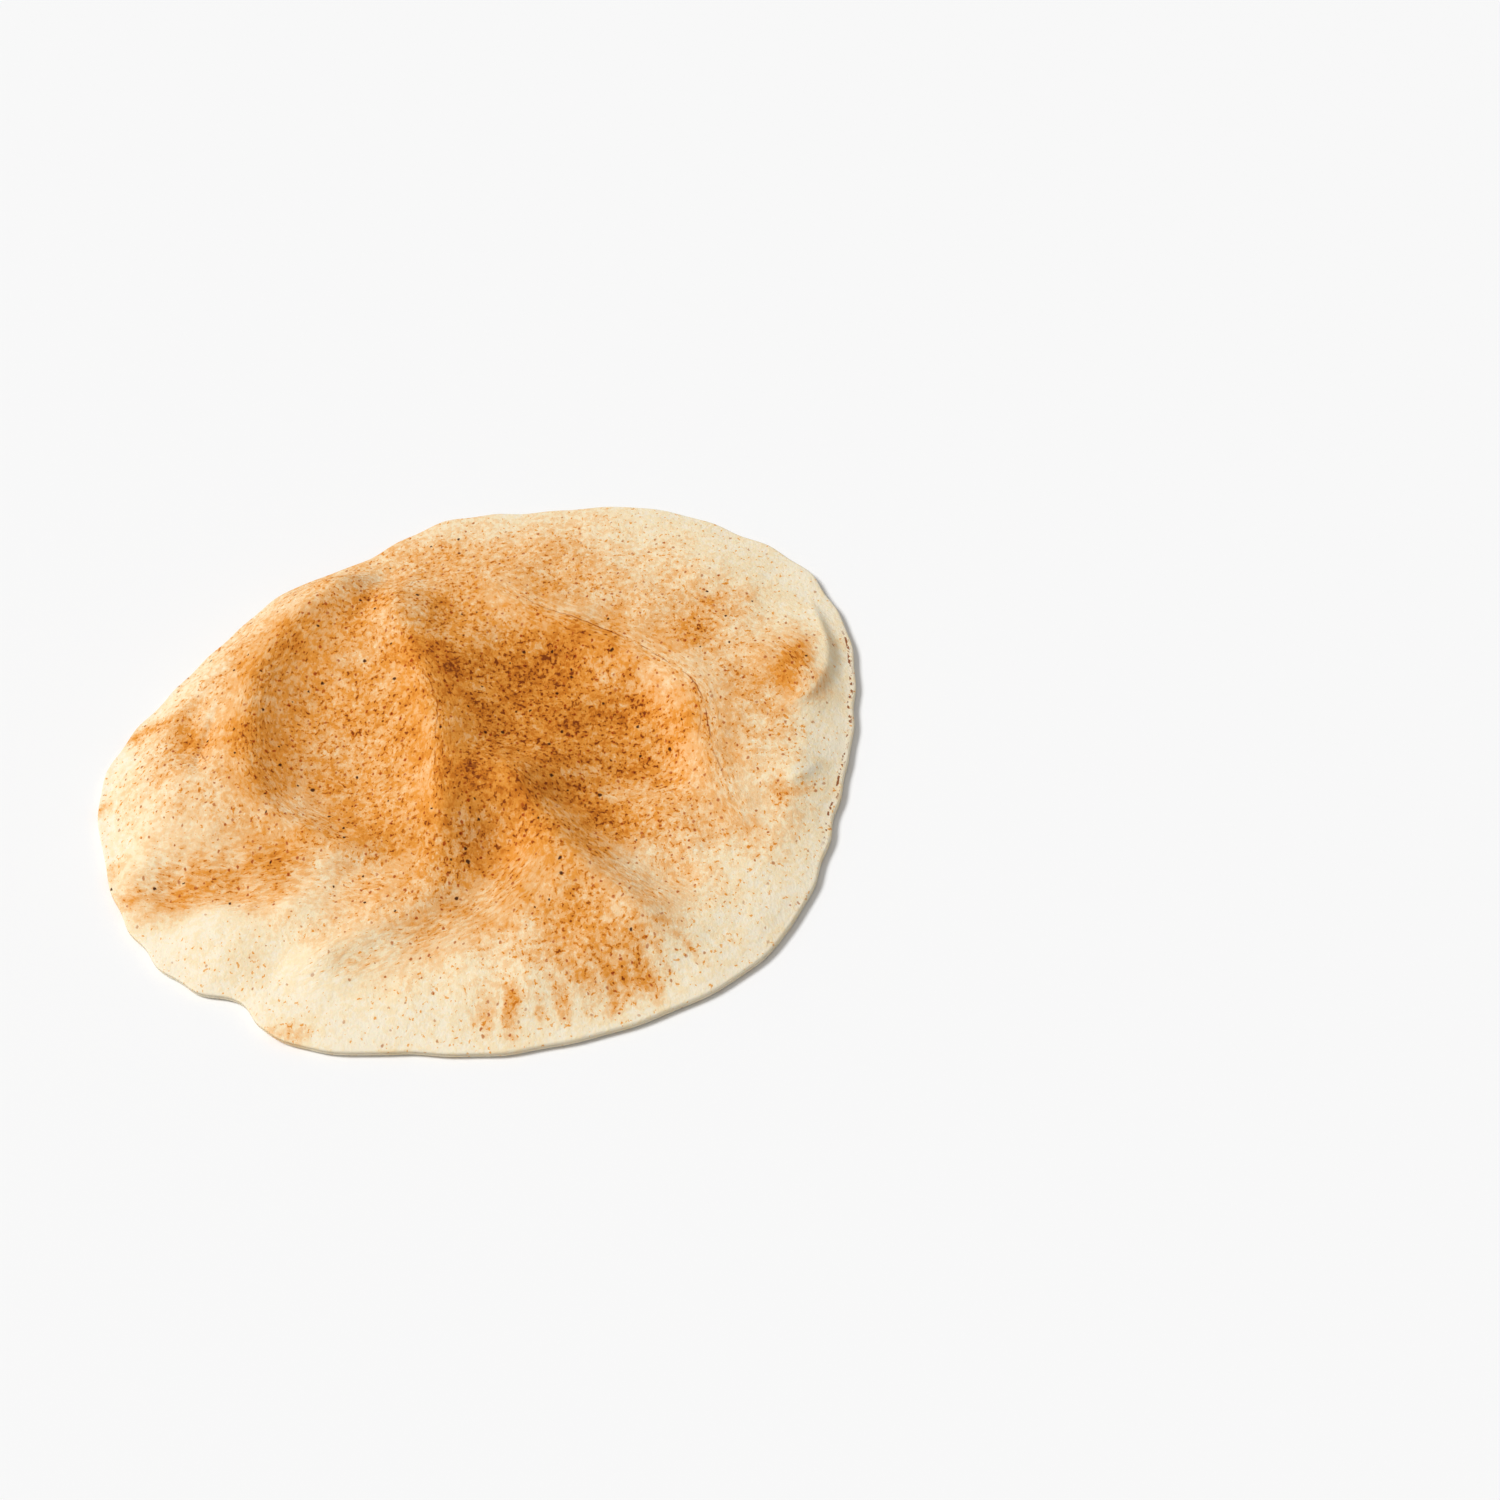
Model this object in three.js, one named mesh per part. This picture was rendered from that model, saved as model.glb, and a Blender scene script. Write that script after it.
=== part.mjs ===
// A pita bread lying flat: a soft round loaf, sealed at its rim, whose puffed top has sunk into folds.
// Millimetres, +Z up, resting on Z = 0. The side the bread is seen from is -Y.
import * as THREE from "three";

// Overall sizes.
const WIDTH = 209; // along X
const DEPTH = 208; // along Y
const RIM_THICKNESS = 2; // the two layers pressed together at the edge
const RIM_LIFT = 0.5; // how far the underside turns up where it meets the rim
const PUFF_HEIGHT = 8; // how far the smooth middle stands above the rim
const FOLD_HEIGHT = 1; // scales the height of every fold and swelling

// Shares of the way from the middle to the rim, 0 to 1.
const FLAT_SHARE = 0.84; // the underside lies flat inside this
const EDGE_SHARE = 0.14; // the folds die away over this last stretch
const FOLD_AT_RIM = 0.12; // the part of a fold's height that is left at the rim

// How square the puff's shoulder is.
const SHOULDER_POWER = 2.2;
const CROWN_POWER = 0.9;

// The change from a fold's left flank to its right one is spread over this width.
const FLANK_BLEND = 2;

// Mesh fineness.
const RINGS = 30; // ring k holds 6k points
const RIM_STEPS = 4;
const CREST_STEPS = 48;

// The rim's outline: degrees anticlockwise from +X, and distance from the middle in hundredths
// of half the width. The dip at -132 degrees is the notch where the edge was folded over.
const OUTLINE = [
  [-170, 100.3],
  [-152, 100.5],
  [-141, 98.8],
  [-132.5, 94.9],
  [-127.5, 99],
  [-118, 100.1],
  [-105, 97.4],
  [-90, 99.2],
  [-70, 101.9],
  [-52, 104.1],
  [-38, 100.1],
  [-22, 95.5],
  [-6, 96.3],
  [12, 102.2],
  [30, 107.2],
  [48, 105.8],
  [62, 104.3],
  [76, 99.1],
  [92, 98.9],
  [108, 92.1],
  [124, 94],
  [138, 92.1],
  [155, 95.5],
  [170, 101.2],
];

// The folds: ridges (height above 0) and valleys (below 0). Each line runs through its points, in
// hundredths of half the width and half the depth. The height, the rounding of the crest and the
// widths of the flanks left and right of the line are millimetres. A fold fades out over the share
// "fade" of its length at each end.
const FOLDS = {
  leftRidge: {
    line: [
      [-19, 81], [-34, 69], [-47, 55], [-55, 38], [-58, 19],
      [-58, 2], [-55, -12], [-45, -23], [-33, -34], [-23, -44],
    ],
    height: 8.4, round: 2, left: 16, right: 28, fade: 0.13,
  },
  centreRidge: {
    line: [
      [-11, 81], [-16, 65], [-17, 52], [-14, 38], [-11, 25],
      [-9, 10], [-9, -8], [-9, -21], [-11, -37], [-16, -52],
    ],
    height: 6, round: 2.6, left: 13, right: 7, fade: 0.22,
  },
  frontCrest: {
    line: [[-4, -35], [-10, -47], [-21, -56], [-36, -61], [-57, -67]],
    height: 3.6, round: 2.4, left: 9, right: 10, fade: 0.3,
  },
  rightArc: {
    line: [[2, 60], [15, 51], [30, 40], [43, 27], [53, 12], [57, -7], [59, -23], [57, -42]],
    height: 3.2, round: 1.2, left: 20, right: 9, fade: 0.28,
  },
  finger: {
    line: [[3, 2], [9, -15], [14, -32], [23, -48], [34, -64], [48, -83]],
    height: 5.8, round: 1.5, left: 12, right: 14, fade: 0.24,
  },
  channel: {
    line: [[17, -8], [24, -23], [32, -38], [42, -52], [56, -67]],
    height: -3.2, round: 5, left: 16, right: 12, fade: 0.26,
  },
  arcFoot: {
    line: [[38, 23], [45, 10], [48, -6], [48, -19], [46, -35]],
    height: -2.4, round: 2, left: 6, right: 9, fade: 0.3,
  },
  leftValley: {
    line: [[-94, -23], [-77, -31], [-56, -37], [-38, -38], [-24, -45]],
    height: -4.8, round: 3, left: 9, right: 9, fade: 0.22,
  },
  frontValley: {
    line: [[4, -42], [-8, -54], [-27, -63], [-50, -72]],
    height: -2.2, round: 2.5, left: 10, right: 8, fade: 0.25,
  },
  leftPinch: {
    line: [[-67, 40], [-73, 29], [-75, 16], [-72, 4]],
    height: -1.6, round: 0.7, left: 6, right: 3, fade: 0.28,
  },
  rightLip: {
    line: [[95, 31], [94, 19], [93, 8], [88, 0], [80, -4]],
    height: 1.3, round: 0.8, left: 3, right: 9, fade: 0.3,
  },
  rightTuck: {
    line: [[71, -21], [78, -23], [88, -24]],
    height: 1, round: 0.8, left: 4, right: 3, fade: 0.35,
  },
  backValley: {
    line: [[-21, 81], [-25, 65], [-26, 50]],
    height: -2, round: 1.2, left: 5, right: 9, fade: 0.28,
  },
};

// Soft swellings (height above 0) and hollows (below 0). The middle is in hundredths of the half
// sizes. Across (on X), along (on Y) and the height are millimetres. The higher "flat" is, the
// flatter the middle and the steeper the edge.
const SWELLINGS = {
  leftBowl: { middle: [-36, 0], across: 24, along: 42, height: -4.8, flat: 1 },
  centralBowl: { middle: [25, 10], across: 27, along: 34, height: -3.4, flat: 2 },
  lowSide: { middle: [36, -2], across: 16, along: 30, height: -2.4, flat: 1 },
  backSwell: { middle: [10, 67], across: 44, along: 16, height: 1.4, flat: 1 },
  leftHump: { middle: [-77, -4], across: 14, along: 20, height: 2.2, flat: 1 },
  frontPocket: { middle: [4, -37], across: 9, along: 13, height: -5, flat: 1 },
  frontSwell: { middle: [0, -79], across: 40, along: 12, height: 1.6, flat: 1 },
  rightBlister: { middle: [81, 13], across: 9, along: 14, height: 1.4, flat: 1 },
  rightShelf: { middle: [80, -19], across: 16, along: 40, height: 0.8, flat: 1 },
};

const CRUST_COLOUR = 0xe3b878;
const HALF = new THREE.Vector2(WIDTH / 2, DEPTH / 2);

// 0 below 0, 1 above 1, and a soft S between.
function ease(t) {
  return THREE.MathUtils.smoothstep(t, 0, 1);
}

// A point given in hundredths of the half sizes, in millimetres.
function planPoint([x, y]) {
  return new THREE.Vector3((x / 100) * HALF.x, (y / 100) * HALF.y, 0);
}

// The closed curve of the rim, stretched so that it spans WIDTH and DEPTH about the origin.
function rimCurve() {
  const points = OUTLINE.map(([degrees, reach]) => {
    const angle = THREE.MathUtils.degToRad(degrees);
    return new THREE.Vector3(reach * Math.cos(angle), reach * Math.sin(angle), 0);
  });
  const curve = new THREE.CatmullRomCurve3(points, true, "centripetal");
  const box = new THREE.Box3().setFromPoints(curve.getPoints(OUTLINE.length * CREST_STEPS));
  const middle = box.getCenter(new THREE.Vector3());
  const span = box.getSize(new THREE.Vector3());
  for (const point of points) {
    point.sub(middle);
    point.x *= WIDTH / span.x;
    point.y *= DEPTH / span.y;
  }
  return new THREE.CatmullRomCurve3(points, true, "centripetal");
}

// The crest of a fold as a chain of points, with the length covered up to each one.
function crestOf(fold) {
  const curve = new THREE.CatmullRomCurve3(fold.line.map(planPoint), false, "centripetal");
  const chain = curve.getPoints(CREST_STEPS);
  const covered = [0];
  for (let i = 1; i < chain.length; i++) {
    covered.push(covered[i - 1] + chain[i].distanceTo(chain[i - 1]));
  }
  return { chain, covered, length: covered[covered.length - 1] };
}

// Where on the crest the point (x, y) is nearest: how far off, on which side, and how far along.
function nearestOnCrest(crest, x, y) {
  let best = { distance: Infinity, side: 0, along: 0 };
  for (let i = 1; i < crest.chain.length; i++) {
    const a = crest.chain[i - 1];
    const step = crest.chain[i].clone().sub(a);
    const length = step.length();
    const t = THREE.MathUtils.clamp(((x - a.x) * step.x + (y - a.y) * step.y) / length ** 2, 0, 1);
    const distance = Math.hypot(x - a.x - t * step.x, y - a.y - t * step.y);
    if (distance < best.distance) {
      const side = (step.x * (y - a.y) - step.y * (x - a.x)) / length;
      best = { distance, side, along: crest.covered[i - 1] + t * length };
    }
  }
  return best;
}

// The height a fold adds at (x, y): a rounded crest with a flank falling away on each side.
function foldHeight(fold, x, y) {
  const near = nearestOnCrest(fold.crest, x, y);
  const leftness = ease(0.5 + (0.5 * near.side) / (fold.round + FLANK_BLEND));
  const flank = leftness * fold.left + (1 - leftness) * fold.right;
  const off = Math.hypot(near.distance, fold.round) - fold.round;
  const toEnd = Math.min(near.along, fold.crest.length - near.along);
  return fold.height * Math.exp(-off / flank) * ease(toEnd / (fold.fade * fold.crest.length));
}

// The height a swelling adds at (x, y).
function swellingHeight(swelling, x, y) {
  const middle = planPoint(swelling.middle);
  const across = (x - middle.x) / swelling.across;
  const along = (y - middle.y) / swelling.along;
  return swelling.height * Math.exp(-((across ** 2 + along ** 2) ** swelling.flat));
}

const folds = Object.values(FOLDS).map((fold) => ({ ...fold, crest: crestOf(fold) }));
const swellings = Object.values(SWELLINGS);

// Height of the top at (x, y), which lies at this share of the way out to the rim.
function topHeight(share, x, y) {
  let relief = 0;
  for (const fold of folds) relief += foldHeight(fold, x, y);
  for (const swelling of swellings) relief += swellingHeight(swelling, x, y);
  const crown = PUFF_HEIGHT * (1 - share ** SHOULDER_POWER) ** CROWN_POWER;
  const fade = FOLD_AT_RIM + (1 - FOLD_AT_RIM) * ease((1 - share) / EDGE_SHARE);
  return RIM_LIFT + RIM_THICKNESS + crown + FOLD_HEIGHT * fade * relief * ease((1 - share) * RINGS);
}

// Height of the underside at this share of the way out.
function undersideHeight(share) {
  return RIM_LIFT * ease((share - FLAT_SHARE) / (1 - FLAT_SHARE));
}

// One side of the bread as rings of 6k points inside the rim, plus the triangles between them.
function addSide(mesh, rim, heightAt, facesUp) {
  const ringStart = [mesh.points.length];
  mesh.points.push([0, 0, heightAt(0, 0, 0)]);
  for (let k = 1; k <= RINGS; k++) {
    ringStart.push(mesh.points.length);
    for (let j = 0; j < 6 * k; j++) {
      const edge = rim.getPointAt(j / (6 * k));
      const reach = (k / RINGS) * (1 - RIM_THICKNESS / 2 / edge.length());
      const x = edge.x * reach;
      const y = edge.y * reach;
      mesh.points.push([x, y, heightAt(k / RINGS, x, y)]);
    }
    addRingTriangles(mesh, ringStart[k - 1], ringStart[k], k, facesUp);
  }
  return ringStart[RINGS];
}

// The triangles between ring k - 1 and ring k, in six equal sectors.
function addRingTriangles(mesh, inner, outer, k, facesUp) {
  const innerAt = (j) => inner + (k === 1 ? 0 : j % (6 * (k - 1)));
  const outerAt = (j) => outer + (j % (6 * k));
  for (let sector = 0; sector < 6; sector++) {
    for (let j = 0; j < k; j++) {
      const o = sector * k + j;
      const i = sector * (k - 1) + j;
      addTriangle(mesh, [innerAt(i), outerAt(o), outerAt(o + 1)], facesUp);
      if (j < k - 1) addTriangle(mesh, [innerAt(i), outerAt(o + 1), innerAt(i + 1)], facesUp);
    }
  }
}

function addTriangle(mesh, [a, b, c], facesUp) {
  mesh.triangles.push(...(facesUp ? [a, b, c] : [a, c, b]));
}

// The rounded edge that joins the outer ring of the top to that of the underside.
function addRim(mesh, rim, topRing, undersideRing) {
  const count = 6 * RINGS;
  let above = topRing;
  for (let step = 1; step <= RIM_STEPS; step++) {
    const below = step === RIM_STEPS ? undersideRing : mesh.points.length;
    if (step < RIM_STEPS) addRimRing(mesh, rim, Math.PI * (step / RIM_STEPS), count);
    for (let j = 0; j < count; j++) {
      const next = (j + 1) % count;
      mesh.triangles.push(above + j, below + j, below + next);
      mesh.triangles.push(above + j, below + next, above + next);
    }
    above = below;
  }
}

// One ring of the rounded edge; the turn runs from 0 at the top to pi at the underside.
function addRimRing(mesh, rim, turn, count) {
  const radius = RIM_THICKNESS / 2;
  for (let j = 0; j < count; j++) {
    const edge = rim.getPointAt(j / count);
    const reach = 1 + (radius * (Math.sin(turn) - 1)) / edge.length();
    mesh.points.push([edge.x * reach, edge.y * reach, RIM_LIFT + radius * (1 + Math.cos(turn))]);
  }
}

function breadGeometry() {
  const rim = rimCurve();
  rim.arcLengthDivisions = OUTLINE.length * CREST_STEPS;
  const mesh = { points: [], triangles: [] };
  const topRing = addSide(mesh, rim, topHeight, true);
  const undersideRing = addSide(mesh, rim, undersideHeight, false);
  addRim(mesh, rim, topRing, undersideRing);
  const geometry = new THREE.BufferGeometry();
  geometry.setAttribute("position", new THREE.Float32BufferAttribute(mesh.points.flat(), 3));
  geometry.setIndex(mesh.triangles);
  geometry.computeVertexNormals();
  return geometry;
}

const crust = new THREE.MeshStandardMaterial({ color: CRUST_COLOUR, roughness: 0.8, metalness: 0 });
const bread = new THREE.Mesh(breadGeometry(), crust);
bread.name = "pita_bread";

const group = new THREE.Group();
group.name = "pita";
group.add(bread);

export default group;
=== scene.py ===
import math

import bpy
import numpy as np
from mathutils import Matrix, Vector


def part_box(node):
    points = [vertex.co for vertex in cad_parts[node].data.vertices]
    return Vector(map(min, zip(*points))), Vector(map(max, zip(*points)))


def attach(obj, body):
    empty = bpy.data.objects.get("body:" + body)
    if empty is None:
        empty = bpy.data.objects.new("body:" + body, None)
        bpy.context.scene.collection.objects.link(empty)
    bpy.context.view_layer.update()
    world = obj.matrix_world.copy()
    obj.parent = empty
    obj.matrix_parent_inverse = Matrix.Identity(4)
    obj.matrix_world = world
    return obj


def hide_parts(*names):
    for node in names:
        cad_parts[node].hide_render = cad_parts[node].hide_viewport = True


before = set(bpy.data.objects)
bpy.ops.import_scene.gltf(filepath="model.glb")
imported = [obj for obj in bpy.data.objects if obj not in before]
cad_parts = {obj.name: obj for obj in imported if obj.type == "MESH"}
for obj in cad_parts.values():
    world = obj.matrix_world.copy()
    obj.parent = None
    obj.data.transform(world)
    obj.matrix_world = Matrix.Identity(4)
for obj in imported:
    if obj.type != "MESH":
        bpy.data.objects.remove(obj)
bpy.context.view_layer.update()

# One pita bread: a fine crust mesh that stands for the plain CAD solid, its baked material, a pale
# floor, soft light and the camera. Plan places and heights are in millimetres from the middle of the
# bread's base, and the scene is in metres.

MM = 0.001
NODE_LOW, NODE_HIGH = [Vector(corner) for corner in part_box("pita_bread")]
MIDDLE = (NODE_LOW + NODE_HIGH) / 2
HALF_X = (NODE_HIGH.x - NODE_LOW.x) / 2 / MM
HALF_Y = (NODE_HIGH.y - NODE_LOW.y) / 2 / MM

# ---------------------------------------------------------------- sizes shared with the CAD
RIM_THICKNESS = 2.0
RIM_LIFT = 0.5
PUFF_HEIGHT = 8.0
# shares of the way from the middle to the rim
FLAT_SHARE = 0.84
EDGE_SHARE = 0.14
# how much of the folds is left at the rim, and the shape of the crown's shoulder
FOLD_AT_RIM = 0.12
SHOULDER_POWER = 2.2
CROWN_POWER = 0.9
# how far either side of a fold's line its two flanks blend
FLANK_BLEND = 2.0

# the rim: bearing in degrees and reach in any unit, scaled afterwards to the CAD box
OUTLINE = [
    (-170, 100.3), (-152, 100.5), (-141, 98.8), (-132.5, 94.9), (-127.5, 99), (-118, 100.1),
    (-105, 97.4), (-90, 99.2), (-70, 101.9), (-52, 104.1), (-38, 100.1), (-22, 95.5),
    (-6, 96.3), (12, 102.2), (30, 107.2), (48, 105.8), (62, 104.3), (76, 99.1),
    (92, 98.9), (108, 92.1), (124, 94), (138, 92.1), (155, 95.5), (170, 101.2),
]

# Folds: line in hundredths of the half sizes; height, crest rounding and the flanks to the left and
# right of the line's direction in millimetres; fade is the share of the length over which each end
# dies away.
FOLDS = {
    "left_ridge": dict(
        line=[(-19, 81), (-34, 69), (-47, 55), (-55, 38), (-58, 19), (-58, 2), (-55, -12), (-45, -23),
              (-33, -34), (-23, -44)],
        height=8.4, round=2, left=16, right=28, fade=0.13),
    "centre_ridge": dict(
        line=[(-11, 81), (-16, 65), (-17, 52), (-14, 38), (-11, 25), (-9, 10), (-9, -8), (-9, -21),
              (-11, -37), (-16, -52)],
        height=6, round=2.6, left=13, right=7, fade=0.22),
    "front_crest": dict(
        line=[(-4, -35), (-10, -47), (-21, -56), (-36, -61), (-57, -67)],
        height=3.6, round=2.4, left=9, right=10, fade=0.3),
    "right_arc": dict(
        line=[(2, 60), (15, 51), (30, 40), (43, 27), (53, 12), (57, -7), (59, -23), (57, -42)],
        height=3.2, round=1.2, left=20, right=9, fade=0.28),
    "finger": dict(
        line=[(3, 2), (9, -15), (14, -32), (23, -48), (34, -64), (48, -83)],
        height=5.8, round=1.5, left=12, right=14, fade=0.24),
    "channel": dict(
        line=[(17, -8), (24, -23), (32, -38), (42, -52), (56, -67)],
        height=-3.2, round=5, left=16, right=12, fade=0.26),
    "arc_foot": dict(
        line=[(38, 23), (45, 10), (48, -6), (48, -19), (46, -35)],
        height=-2.4, round=2, left=6, right=9, fade=0.3),
    "left_valley": dict(
        line=[(-94, -23), (-77, -31), (-56, -37), (-38, -38), (-24, -45)],
        height=-4.8, round=3, left=9, right=9, fade=0.22),
    "front_valley": dict(
        line=[(4, -42), (-8, -54), (-27, -63), (-50, -72)],
        height=-2.2, round=2.5, left=10, right=8, fade=0.25),
    "left_pinch": dict(
        line=[(-67, 40), (-73, 29), (-75, 16), (-72, 4)],
        height=-1.6, round=0.7, left=6, right=3, fade=0.28),
    "right_lip": dict(
        line=[(95, 31), (94, 19), (93, 8), (88, 0), (80, -4)],
        height=1.3, round=0.8, left=3, right=9, fade=0.3),
    "right_tuck": dict(
        line=[(71, -21), (78, -23), (88, -24)],
        height=1, round=0.8, left=4, right=3, fade=0.35),
    "back_valley": dict(
        line=[(-21, 81), (-25, 65), (-26, 50)],
        height=-2, round=1.2, left=5, right=9, fade=0.28),
}
# Swellings and hollows: middle in hundredths of the half sizes, half widths and height in millimetres;
# flat is 1 for a soft mound and more for one with a flatter top.
SWELLINGS = {
    "left_bowl": dict(middle=(-36, 0), across=24, along=42, height=-4.8, flat=1),
    "central_bowl": dict(middle=(25, 10), across=27, along=34, height=-3.4, flat=2),
    "low_side": dict(middle=(36, -2), across=16, along=30, height=-2.4, flat=1),
    "back_swell": dict(middle=(10, 67), across=44, along=16, height=1.4, flat=1),
    "left_hump": dict(middle=(-77, -4), across=14, along=20, height=2.2, flat=1),
    "front_pocket": dict(middle=(4, -37), across=9, along=13, height=-5, flat=1),
    "front_swell": dict(middle=(0, -79), across=40, along=12, height=1.6, flat=1),
    "right_blister": dict(middle=(81, 13), across=9, along=14, height=1.4, flat=1),
    "right_shelf": dict(middle=(80, -19), across=16, along=40, height=0.8, flat=1),
}

# ---------------------------------------------------------------- grids for the height and the browning
# the size of a cell and how far the grid reaches from the middle, in millimetres
CELL = 0.5
REACH = 118.0
COUNT = int(2 * REACH / CELL) + 1
FAR = 1e9
AXIS = np.linspace(-REACH, REACH, COUNT)
GX, GY = np.meshgrid(AXIS, AXIS)
FREQ_X = np.fft.rfftfreq(COUNT, CELL)[None, :]
FREQ_Y = np.fft.fftfreq(COUNT, CELL)[:, None]
FREQ = FREQ_X**2 + FREQ_Y**2


def blur(field, sigma):
    """The field under a Gaussian blur of sigma millimetres."""
    kept = np.exp(-2 * (math.pi * sigma) ** 2 * FREQ)
    return np.fft.irfft2(np.fft.rfft2(field) * kept, s=field.shape)


def noise(seed, grain):
    """Soft noise of standard deviation 1, with blobs of about the grain in millimetres."""
    field = blur(np.random.RandomState(seed).standard_normal((COUNT, COUNT)), grain)
    return field / field.std()


def layered_noise(layers):
    """Layers of noise added up, each given as seed, grain and amount."""
    return sum(amount * noise(seed, grain) for seed, grain, amount in layers)


def ease(t):
    """0 below 0, 1 above 1 and smooth between."""
    t = np.clip(t, 0.0, 1.0)
    return t * t * (3 - 2 * t)


def sample(field, x, y):
    """A grid field read at plan places, by bilinear interpolation."""
    u = np.clip((np.asarray(x) + REACH) / CELL, 0, COUNT - 1.001)
    v = np.clip((np.asarray(y) + REACH) / CELL, 0, COUNT - 1.001)
    i, j = u.astype(int), v.astype(int)
    fu, fv = u - i, v - j
    low = field[j, i] * (1 - fu) + field[j, i + 1] * fu
    high = field[j + 1, i] * (1 - fu) + field[j + 1, i + 1] * fu
    return low * (1 - fv) + high * fv


RIM_SPAN_STEPS = 48
# the rim's kinks: how many waves they are made of, the waves' numbers round the rim, and their height
KINKS = 14
KINK_WAVES = (14, 62)
KINK_DEPTH = 0.09


def spline(points, steps, closed=False):
    """A centripetal Catmull-Rom curve through the points."""
    p = np.asarray(points, float)
    if closed:
        q = np.vstack([p[-1], p, p[0], p[1]])
    else:
        q = np.vstack([2 * p[0] - p[1], p, 2 * p[-1] - p[-2]])
    out = []
    for k in range(1, len(q) - 2):
        a, b, c, d = q[k - 1:k + 3]
        ta = np.linalg.norm(b - a) ** 0.5
        tb = np.linalg.norm(c - b) ** 0.5
        tc = np.linalg.norm(d - c) ** 0.5
        m = ((b - a) / ta - (c - a) / (ta + tb) + (c - b) / tb) * tb
        n = ((c - b) / tb - (d - b) / (tb + tc) + (d - c) / tc) * tb
        t = (np.arange(steps) / steps)[:, None]
        out.append((2 * t**3 - 3 * t**2 + 1) * b + (t**3 - 2 * t**2 + t) * m
                   + (3 * t**2 - 2 * t**3) * c + (t**3 - t**2) * n)
    if not closed:
        out.append(p[-1:])
    return np.vstack(out)


def rim_polyline():
    angle = np.radians([bearing for bearing, _ in OUTLINE])
    reach = np.array([out for _, out in OUTLINE])
    points = np.stack([reach * np.cos(angle), reach * np.sin(angle)], 1)
    drawn = spline(points, RIM_SPAN_STEPS, closed=True)
    low, high = drawn.min(0), drawn.max(0)
    points = (points - (low + high) / 2) * [2 * HALF_X, 2 * HALF_Y] / (high - low)
    return spline(points, RIM_SPAN_STEPS, closed=True)


def waver(points):
    """Small kinks pressed into the rim."""
    pick = np.random.RandomState(41)
    angle = np.arctan2(points[:, 1], points[:, 0])
    swing = sum(np.sin(pick.randint(*KINK_WAVES) * angle + pick.uniform(0, 6.3)) for _ in range(KINKS))
    return points * (1 + KINK_DEPTH * swing / np.hypot(points[:, 0], points[:, 1]))[:, None]


RIM = waver(rim_polyline())
RIM_CLOSED = np.vstack([RIM, RIM[:1]])
RIM_ALONG = np.concatenate([[0], np.cumsum(np.linalg.norm(np.diff(RIM_CLOSED, axis=0), axis=1))])
RIM_ALONG /= RIM_ALONG[-1]
BY_BEARING = np.argsort(np.arctan2(RIM[:, 1], RIM[:, 0]))
RIM_BEARING = np.arctan2(RIM[:, 1], RIM[:, 0])[BY_BEARING]
RIM_REACH = np.hypot(RIM[:, 0], RIM[:, 1])[BY_BEARING]


def rim_at(t):
    """Rim points at shares t of the way round."""
    x = np.interp(t, RIM_ALONG, RIM_CLOSED[:, 0])
    y = np.interp(t, RIM_ALONG, RIM_CLOSED[:, 1])
    return np.stack([x, y], 1)


def rim_reach(x, y):
    """How far out the rim is in the direction of each plan place."""
    return np.interp(np.arctan2(y, x), RIM_BEARING, RIM_REACH, period=2 * math.pi)


def plan(points):
    """Hundredths of the half sizes as millimetres."""
    return np.asarray(points, float) * [HALF_X / 100, HALF_Y / 100]


def near_line(points, x, y, steps=10):
    """Distance from the curve through the points, signed distance to its left, and length along it."""
    chain = spline(points, steps)
    parts = np.linalg.norm(np.diff(chain, axis=0), axis=1)
    covered = np.concatenate([[0], np.cumsum(parts)])
    off = np.full(x.shape, FAR)
    side = np.zeros(x.shape)
    along = np.zeros(x.shape)
    for k in range(len(parts)):
        a, step, size = chain[k], chain[k + 1] - chain[k], parts[k]
        t = np.clip(((x - a[0]) * step[0] + (y - a[1]) * step[1]) / size**2, 0, 1)
        distance = np.hypot(x - a[0] - t * step[0], y - a[1] - t * step[1])
        closer = distance < off
        off = np.where(closer, distance, off)
        side = np.where(closer, (step[0] * (y - a[1]) - step[1] * (x - a[0])) / size, side)
        along = np.where(closer, covered[k] + t * size, along)
    return off, side, along, covered[-1]


def ends_fade(along, length, reach):
    """1 along a line, dying away over the reach at each of its ends."""
    return ease(np.minimum(along, length - along) / reach)


def fold_height(fold, x, y):
    off, side, along, length = near_line(plan(fold["line"]), x, y)
    leftness = ease(0.5 + 0.5 * side / (fold["round"] + FLANK_BLEND))
    flank = leftness * fold["left"] + (1 - leftness) * fold["right"]
    away = np.hypot(off, fold["round"]) - fold["round"]
    return fold["height"] * np.exp(-away / flank) * ends_fade(along, length, fold["fade"] * length)


def swelling_height(spot, x, y):
    middle = plan(spot["middle"])
    u = (x - middle[0]) / spot["across"]
    v = (y - middle[1]) / spot["along"]
    return spot["height"] * np.exp(-((u**2 + v**2) ** spot["flat"]))


SHARE = np.hypot(GX, GY) / rim_reach(GX, GY)
EDGE_FADE = FOLD_AT_RIM + (1 - FOLD_AT_RIM) * ease((1 - SHARE) / EDGE_SHARE)
FOLD_SOFTENING = 1.2
# soft lumps, as layers of noise in millimetres
LUMPS = [(3, 9, 0.35), (4, 3.5, 0.16), (5, 1.3, 0.05)]

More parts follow.
